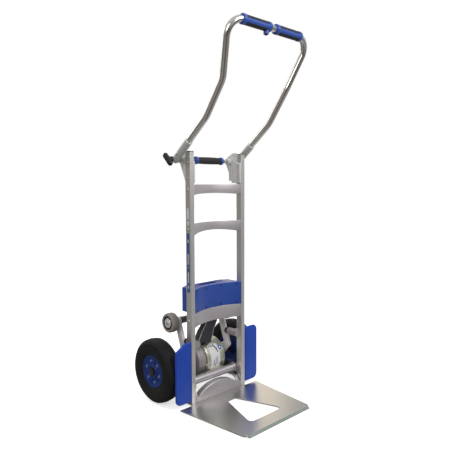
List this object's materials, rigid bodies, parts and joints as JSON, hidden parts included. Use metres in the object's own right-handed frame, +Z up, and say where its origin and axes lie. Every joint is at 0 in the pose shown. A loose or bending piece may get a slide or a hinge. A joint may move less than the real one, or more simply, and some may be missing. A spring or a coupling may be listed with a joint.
{
  "type": "powered stair-climbing hand truck",
  "caption": "Battery-powered stair-climbing hand truck with folding loop handle, toe plate, climbing arms with small wheels and blue guards.",
  "frame": {"origin": "on the floor under the middle of the truck's bounding box", "axes": "+X to the right of someone facing the toe plate side, +Y to the back (wheels), +Z up"},
  "size_m": [0.5002, 0.606, 1.4555],
  "materials": {
    "rail": "satin anodised extrusion",
    "crossbar": "satin",
    "cap": "moulded",
    "fastener": "zinc plated",
    "cover_screw": "black",
    "toe_plate": "bright rolled sheet",
    "brace": "satin",
    "blue_plastic": "moulded, fine grain",
    "bracket": "cast, light grey",
    "polished_tube": "polished",
    "steel": "turned",
    "grip_rubber": "matt",
    "grip_blue": "moulded",
    "black_plastic": "moulded",
    "board": "circuit board",
    "gearbox": "die cast, painted silver",
    "motor": "grey",
    "neck": "dark grey casting",
    "gear_steel": "hardened",
    "arm": "cast",
    "cross_tube": "dark grey",
    "small_rubber": "grey rubber",
    "chrome_hub": "bright",
    "tyre": "black",
    "rim": "moulded"
  },
  "bodies": {
    "frame": {"left_rail": "rail", "right_rail": "rail", "upper_crossbar": "crossbar", "middle_crossbar": "crossbar", "lower_crossbar": "crossbar", "rail_caps": "cap", "frame_screws": "fastener", "gearbox_bolts": "fastener", "cover_screws": "cover_screw", "toe_plate": "toe_plate", "toe_brace": "brace", "toe_gussets": "brace", "lower_cross_tube": "brace", "left_guard": "blue_plastic", "right_guard": "blue_plastic", "battery_cover": "blue_plastic", "battery_housing": "blue_plastic", "left_handle_bracket": "bracket", "right_handle_bracket": "bracket", "pivot_bar": "steel", "main_axle": "steel", "carry_grip": "grip_rubber", "rest_buffers": "grip_rubber", "carry_grip_rings": "grip_blue", "control_board": "board", "gearbox_housing": "gearbox", "gearbox_lid": "gearbox", "motor_housing": "motor", "drive_motor": "motor", "rest_brackets": "motor", "gearbox_neck": "neck"},
    "handle": {"handle_tube": "polished_tube", "left_sleeve": "bracket", "right_sleeve": "bracket", "left_grip": "grip_blue", "right_grip": "grip_blue", "grip_inserts": "grip_rubber", "switch_housing": "grip_blue"},
    "button": {"drive_button": "grip_rubber"},
    "knob": {"lock_knob": "black_plastic"},
    "battery": {"battery_pack": "blue_plastic"},
    "yoke": {"output_shaft": "steel", "left_climb_arm": "arm", "right_climb_arm": "arm", "cross_tube": "cross_tube", "small_axle": "steel", "output_gear": "gear_steel"},
    "pinion": {"motor_pinion": "gear_steel"},
    "left_small_wheel": {"left_small_tyre": "small_rubber", "left_small_hub": "chrome_hub"},
    "right_small_wheel": {"right_small_tyre": "small_rubber", "right_small_hub": "chrome_hub"},
    "left_wheel": {"left_tyre": "tyre", "left_rim": "rim", "left_hub": "black_plastic", "left_rim_bolts": "fastener"},
    "right_wheel": {"right_tyre": "tyre", "right_rim": "rim", "right_hub": "black_plastic", "right_rim_bolts": "fastener"}
  },
  "joints": [
    {"name": "handle_fold", "type": "hinge", "parent": "frame", "child": "handle", "pos_m": [0, 0.095, 0.98], "axis": [1, 0, 0], "range_deg": [-45, 130]},
    {"name": "drive_button_press", "type": "slide", "parent": "handle", "child": "button", "axis": [0, 0, 1], "range_m": [0, 0.003], "stiffness_N_per_m": 600},
    {"name": "lock_knob_turn", "type": "hinge", "parent": "frame", "child": "knob", "pos_m": [-0.205, 0.095, 0.98], "axis": [1, 0, 0], "range_deg": [0, 270]},
    {"name": "battery_lift", "type": "slide", "parent": "frame", "child": "battery", "axis": [0, 0, 1], "range_m": [0, 0.12]},
    {"name": "yoke_swing", "type": "hinge", "parent": "frame", "child": "yoke", "pos_m": [0, 0.173, 0.13], "axis": [1, 0, 0], "range_deg": [-185, 0]},
    {"name": "pinion_spin", "type": "hinge", "parent": "frame", "child": "pinion", "pos_m": [0, 0.211, 0.13], "axis": [1, 0, 0], "range_deg": [-1, 456]},
    {"name": "left_small_wheel_spin", "type": "hinge", "parent": "yoke", "child": "left_small_wheel", "pos_m": [-0.158, 0.157, 0.319], "axis": [1, 0, 0], "continuous": true},
    {"name": "right_small_wheel_spin", "type": "hinge", "parent": "yoke", "child": "right_small_wheel", "pos_m": [0.158, 0.157, 0.319], "axis": [1, 0, 0], "continuous": true},
    {"name": "left_wheel_spin", "type": "hinge", "parent": "frame", "child": "left_wheel", "pos_m": [-0.216, 0.173, 0.13], "axis": [1, 0, 0], "continuous": true},
    {"name": "right_wheel_spin", "type": "hinge", "parent": "frame", "child": "right_wheel", "pos_m": [0.216, 0.173, 0.13], "axis": [1, 0, 0], "continuous": true}
  ],
  "couplings": [
    {"joint": "pinion_spin", "follows": "yoke_swing", "ratio": -2.4545}
  ]
}
